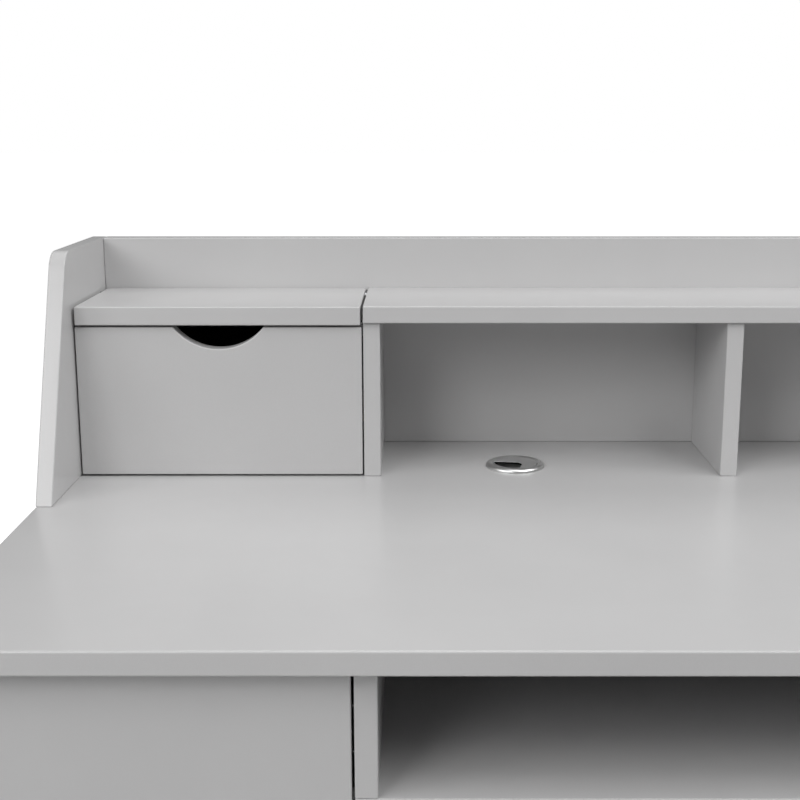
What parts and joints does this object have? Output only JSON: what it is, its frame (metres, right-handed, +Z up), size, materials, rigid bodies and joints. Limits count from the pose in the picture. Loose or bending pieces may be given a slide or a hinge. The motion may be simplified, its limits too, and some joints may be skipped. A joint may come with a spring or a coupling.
{
  "type": "writing desk with drawers",
  "caption": "Writing desk in satin grey board with a low hutch, lift-up lids, finger-pull hutch drawers, open cubbies, a cable grommet and slide-mounted drawers.",
  "frame": {"origin": "on the floor, at the centre of the desktop's outline", "axes": "+Z up, front faces -Y, +X to the right seen from the front"},
  "size_m": [1.278, 0.572, 0.967],
  "materials": {
    "painted_board": "satin light grey lacquer on fibreboard",
    "drawer_box_wood": "clear-lacquered birch plywood",
    "black_box_wood": "black-stained birch plywood",
    "bare_wood": "planed beech",
    "steel": "bright zinc-plated steel",
    "satin_metal": "satin nickel",
    "black_plastic": "black nylon",
    "rubber_pads": "soft black rubber"
  },
  "bodies": {
    "desk_frame": {"desktop": "painted_board", "left_end_panel": "painted_board", "right_end_panel": "painted_board", "modesty_panel": "painted_board", "cubby_floor_board": "painted_board", "left_cubby_divider": "painted_board", "right_cubby_divider": "painted_board", "left_hutch_side": "painted_board", "right_hutch_side": "painted_board", "hutch_back_panel": "painted_board", "left_hutch_partition": "painted_board", "right_hutch_partition": "painted_board", "hutch_mid_divider": "painted_board", "hutch_top_shelf": "painted_board", "lid_rest_cleats": "painted_board", "lid_rest_pads": "rubber_pads", "lid_pivot_bushes": "black_plastic", "hutch_drawer_runners": "bare_wood", "hutch_drawer_stops": "rubber_pads", "outer_slide_rails": "steel", "outer_rail_screws": "steel", "cam_locks": "steel", "cam_bolts": "steel", "confirmat_screws": "steel", "frame_dowels": "bare_wood", "glide_stems": "steel", "glide_feet": "black_plastic", "grommet_liner": "satin_metal"},
    "grommet_cap": {"grommet_cap": "satin_metal"},
    "left_lid": {"left_lid": "painted_board", "left_lid_pins": "steel"},
    "left_hutch_drawer": {"left_hutch_drawer_front": "painted_board", "left_hutch_drawer_outer_side": "black_box_wood", "left_hutch_drawer_inner_side": "black_box_wood", "left_hutch_drawer_back": "black_box_wood", "left_hutch_drawer_bottom": "black_box_wood"},
    "left_desk_drawer": {"left_desk_drawer_front": "painted_board", "left_desk_drawer_outer_side": "drawer_box_wood", "left_desk_drawer_inner_side": "drawer_box_wood", "left_desk_drawer_back": "drawer_box_wood", "left_desk_drawer_bottom": "drawer_box_wood", "left_desk_drawer_rails": "steel", "left_inner_rail_screws": "steel"},
    "left_ball_cages": {"left_slide_ball_cages": "steel"},
    "right_lid": {"right_lid": "painted_board", "right_lid_pins": "steel"},
    "right_hutch_drawer": {"right_hutch_drawer_front": "painted_board", "right_hutch_drawer_outer_side": "black_box_wood", "right_hutch_drawer_inner_side": "black_box_wood", "right_hutch_drawer_back": "black_box_wood", "right_hutch_drawer_bottom": "black_box_wood"},
    "right_desk_drawer": {"right_desk_drawer_front": "painted_board", "right_desk_drawer_outer_side": "drawer_box_wood", "right_desk_drawer_inner_side": "drawer_box_wood", "right_desk_drawer_back": "drawer_box_wood", "right_desk_drawer_bottom": "drawer_box_wood", "right_desk_drawer_rails": "steel", "right_inner_rail_screws": "steel"},
    "right_ball_cages": {"right_slide_ball_cages": "steel"}
  },
  "joints": [
    {"name": "left_lid_hinge", "type": "hinge", "parent": "desk_frame", "child": "left_lid", "pos_m": [-0.4874, 0.249, 0.91], "axis": [-1, 0, 0], "range_deg": [0, 90]},
    {"name": "left_hutch_drawer_slide", "type": "slide", "parent": "desk_frame", "child": "left_hutch_drawer", "axis": [0, -1, 0], "range_m": [0, 0.08]},
    {"name": "left_desk_drawer_slide", "type": "slide", "parent": "desk_frame", "child": "left_desk_drawer", "axis": [0, -1, 0], "range_m": [0, 0.3]},
    {"name": "left_ball_cage_slide", "type": "slide", "parent": "desk_frame", "child": "left_ball_cages", "axis": [0, -1, 0], "range_m": [0, 0.15]},
    {"name": "right_lid_hinge", "type": "hinge", "parent": "desk_frame", "child": "right_lid", "pos_m": [0.4874, 0.249, 0.91], "axis": [-1, 0, 0], "range_deg": [0, 90]},
    {"name": "right_hutch_drawer_slide", "type": "slide", "parent": "desk_frame", "child": "right_hutch_drawer", "axis": [0, -1, 0], "range_m": [0, 0.08]},
    {"name": "right_desk_drawer_slide", "type": "slide", "parent": "desk_frame", "child": "right_desk_drawer", "axis": [0, -1, 0], "range_m": [0, 0.3]},
    {"name": "right_ball_cage_slide", "type": "slide", "parent": "desk_frame", "child": "right_ball_cages", "axis": [0, -1, 0], "range_m": [0, 0.15]},
    {"name": "grommet_cap_turn", "type": "hinge", "parent": "desk_frame", "child": "grommet_cap", "pos_m": [-0.203, 0.172, 0.7527], "axis": [0, 0, 1], "continuous": true}
  ],
  "couplings": [
    {"joint": "left_ball_cage_slide", "follows": "left_desk_drawer_slide", "ratio": 0.5},
    {"joint": "right_ball_cage_slide", "follows": "right_desk_drawer_slide", "ratio": 0.5}
  ]
}
